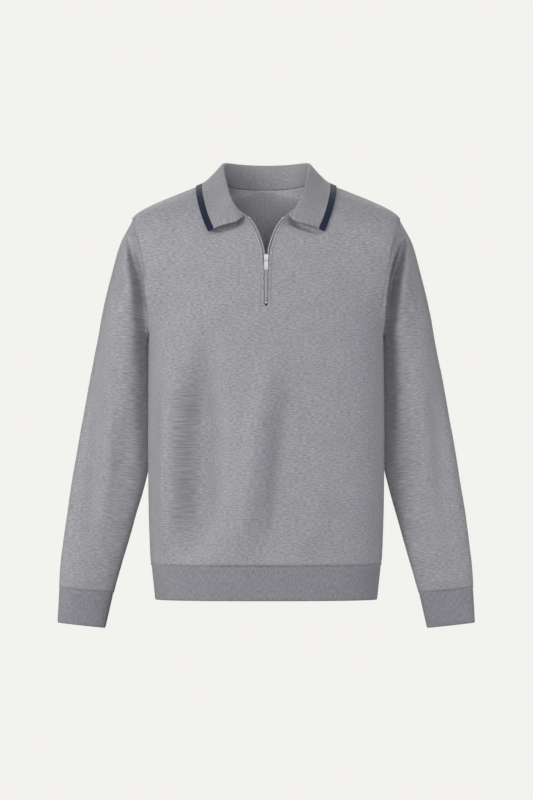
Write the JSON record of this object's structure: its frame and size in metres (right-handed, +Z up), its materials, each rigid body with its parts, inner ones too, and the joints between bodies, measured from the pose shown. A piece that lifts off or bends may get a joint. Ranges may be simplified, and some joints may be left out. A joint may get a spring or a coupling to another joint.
{
  "type": "knit polo sweater with a quarter zip",
  "caption": "Long-sleeved knit polo sweater, filled out with no wearer: hollow body and sleeves, fold-over collar with a navy stripe, short front zip with a hinged pull tab, rib hem and cuffs.",
  "frame": {"origin": "on the wearer's shoulder line, in the middle, level with the top of the shoulder seams where they meet the collar", "axes": "+Z up, -Y out of the front, +X towards the wearer's left"},
  "size_m": [0.6946, 0.2406, 0.7741],
  "materials": {
    "knit": "fine melange jersey knit, mid grey",
    "rib": "rib knit, mid grey, the collar edged with a navy stripe",
    "tape": "woven zip tape",
    "metal": "polished, silver coloured"
  },
  "bodies": {
    "garment": {"front": "knit", "back": "knit", "sleeve_left": "knit", "sleeve_right": "knit", "cuff_left": "rib", "cuff_right": "rib", "hem_band": "rib", "collar": "rib", "zip_tape_left": "tape", "zip_tape_right": "tape", "zip_top_stop_left": "metal", "zip_top_stop_right": "metal", "zip_bottom_stop": "metal", "zip_slider": "metal"},
    "zip_pull": {"zip_pull_tab": "metal"}
  },
  "joints": [
    {"name": "pull_tab_hinge", "type": "hinge", "parent": "garment", "child": "zip_pull", "pos_m": [0, -0.1196, -0.13697], "axis": [-1, 0, 0], "range_deg": [0, 150]}
  ]
}
